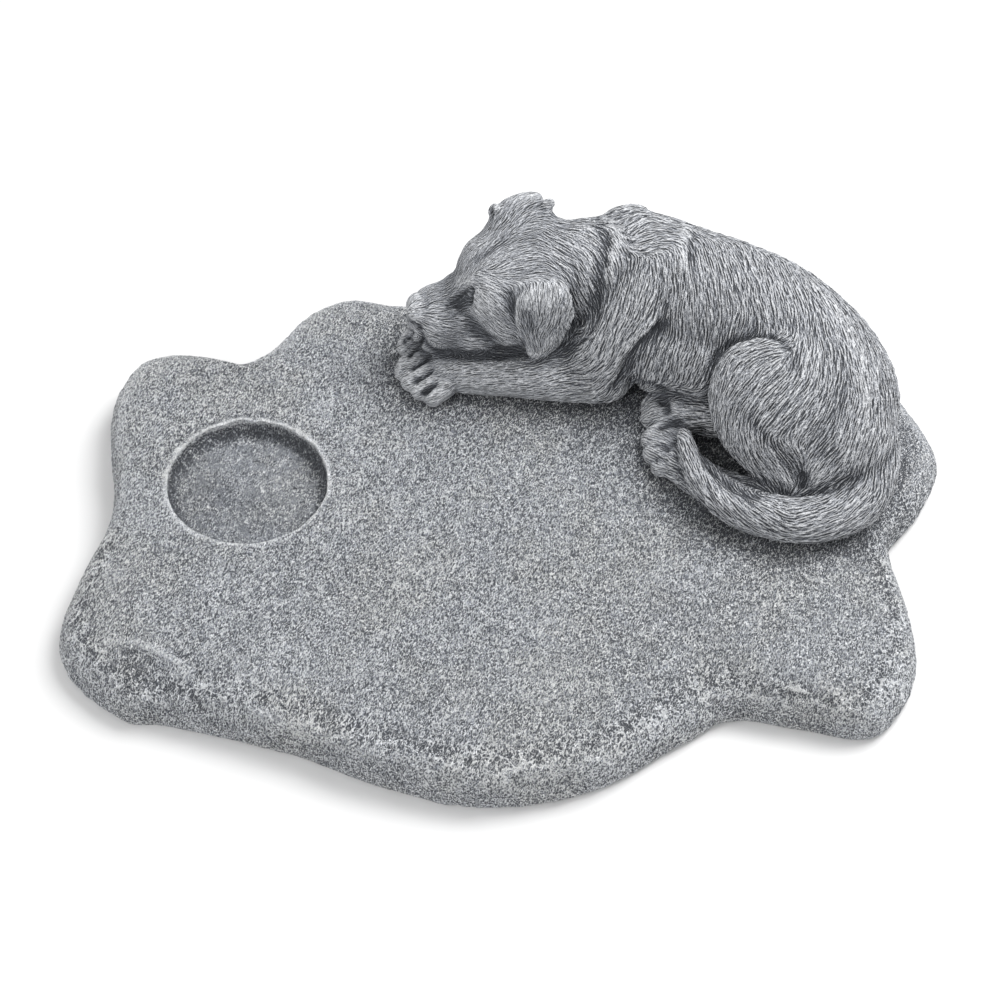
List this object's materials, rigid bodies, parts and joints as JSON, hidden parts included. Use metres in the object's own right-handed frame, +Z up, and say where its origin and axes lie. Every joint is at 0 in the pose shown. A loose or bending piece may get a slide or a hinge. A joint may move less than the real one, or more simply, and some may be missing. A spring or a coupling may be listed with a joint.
{
  "type": "pet memorial statue",
  "caption": "Sleeping dog curled up at the back of a wavy pebble-edged slab, with a round recess for a tea light at the left.",
  "frame": {"origin": "on the ground, under the middle of the slab's bounding box", "axes": "+X to the viewer's right along the slab's length, +Y to the back where the dog lies, +Z up"},
  "size_m": [0.226, 0.172, 0.0564],
  "materials": {
    "cast_stone": "rough pitted cast stone, mid grey with paler brushed ridges and darker grooves"
  },
  "bodies": {
    "root": {"sleeping_dog_memorial_stone": "cast_stone"}
  },
  "joints": []
}
